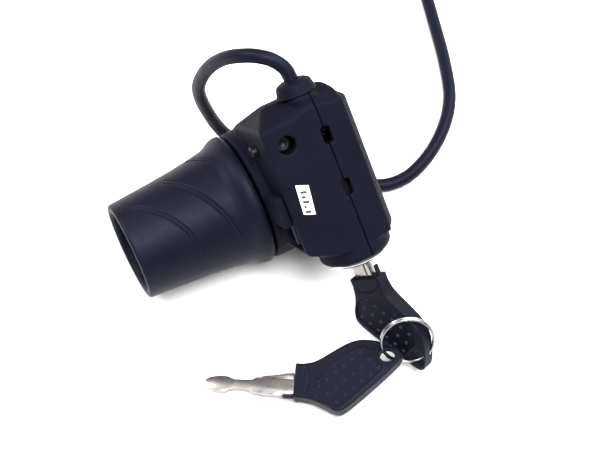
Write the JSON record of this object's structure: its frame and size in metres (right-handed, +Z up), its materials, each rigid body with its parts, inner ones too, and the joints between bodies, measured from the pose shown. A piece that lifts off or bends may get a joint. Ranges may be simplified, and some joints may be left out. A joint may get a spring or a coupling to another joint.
{
  "type": "twist throttle with key switch",
  "caption": "Half-twist handlebar throttle with a key-switch lock in its housing, keys on a split ring and a signal lead that ends in a plug.",
  "frame": {"origin": "on the table under the middle of the throttle and keys", "axes": "+X along the handlebar axis from the open end of the grip to the housing, +Z up from the table, -Y towards the keys"},
  "size_m": [0.1508, 0.1961, 0.0692],
  "materials": {
    "rubber_black": "satin moulded rubber",
    "shell_black": "fine spark-eroded texture",
    "nylon_black": "as moulded",
    "key_bow_black": "fine texture",
    "pvc_black": "semi-gloss PVC jacket",
    "chrome": "polished",
    "nickel": "nickel plated",
    "zinc": "die cast",
    "barrel_black": "blackened die cast",
    "screw_steel": "blackened",
    "spring_steel": "drawn wire",
    "brass": "stamped",
    "magnet_grey": "sintered",
    "board_green": "solder mask",
    "chip_black": "epoxy",
    "lens_smoke": "smoked clear",
    "led_green": "diffuse",
    "led_amber": "diffuse",
    "led_red": "diffuse",
    "label_white": "paper label",
    "wire_red": "PVC wire",
    "plug_black": "nylon",
    "tie_black": "nylon"
  },
  "bodies": {
    "housing": {"back_screw": "screw_steel", "clamp_screw": "screw_steel", "coil_tie": "tie_black", "cover_screw_a": "screw_steel", "cover_screw_b": "screw_steel", "end_cover": "shell_black", "gauge_board": "board_green", "gauge_window": "lens_smoke", "hall_board": "board_green", "hall_sensor": "chip_black", "housing_body": "shell_black", "lead_coil": "pvc_black", "lead_tail": "pvc_black", "led_amber": "led_amber", "led_green": "led_green", "led_red": "led_red", "lock_barrel": "barrel_black", "lock_bezel": "chrome", "plug_pin_1": "brass", "plug_pin_2": "brass", "plug_pin_3": "brass", "plug_pin_4": "brass", "plug_pin_5": "brass", "plug_pin_6": "brass", "plug_shell": "plug_black", "plug_sleeve": "tie_black", "plug_wires": "wire_red", "pocket_pin": "screw_steel", "return_spring": "spring_steel", "signal_lead": "pvc_black", "stop_screw": "screw_steel", "strain_relief": "rubber_black", "switch_base": "nylon_black", "terminal_a": "brass", "terminal_b": "brass", "thrust_washer": "zinc", "voltage_label": "label_white", "wall_tab": "shell_black"},
    "twist_grip": {"grip_sleeve": "rubber_black", "grip_hub": "nylon_black", "magnet_a": "magnet_grey", "magnet_b": "magnet_grey"},
    "lock_core": {"lock_plug": "nickel", "switch_cam": "nylon_black"},
    "key_in_lock": {"key_blade_a": "nickel", "key_bow_a": "key_bow_black"},
    "ring": {"split_ring": "nickel"},
    "spare_key": {"key_blade_b": "nickel", "key_bow_b": "key_bow_black"}
  },
  "joints": [
    {"name": "grip_twist", "type": "hinge", "parent": "housing", "child": "twist_grip", "pos_m": [-0.036, 0.02227, 0.0208], "axis": [1, 0, 0], "range_deg": [0, 70], "stiffness_Nm_per_rad": 0.12, "springref_deg": -22.92},
    {"name": "lock_turn", "type": "hinge", "parent": "housing", "child": "lock_core", "pos_m": [0.0229, -0.01075, 0.02389], "axis": [0, -0.7576, -0.6528], "range_deg": [0, 90]},
    {"name": "key_pull", "type": "slide", "parent": "lock_core", "child": "key_in_lock", "axis": [0, -0.7576, -0.6528], "range_m": [0, 0.021]},
    {"name": "ring_swing", "type": "hinge", "parent": "key_in_lock", "child": "ring", "pos_m": [0.02767, -0.04341, 0.00666], "axis": [0.8635, -0.0638, 0.5003], "range_deg": [0, 35]},
    {"name": "spare_key_swing", "type": "hinge", "parent": "ring", "child": "spare_key", "pos_m": [0.01859, -0.03848, 0.00756], "axis": [0.4379, -0.6426, -0.6288], "range_deg": [-35, 20]}
  ]
}
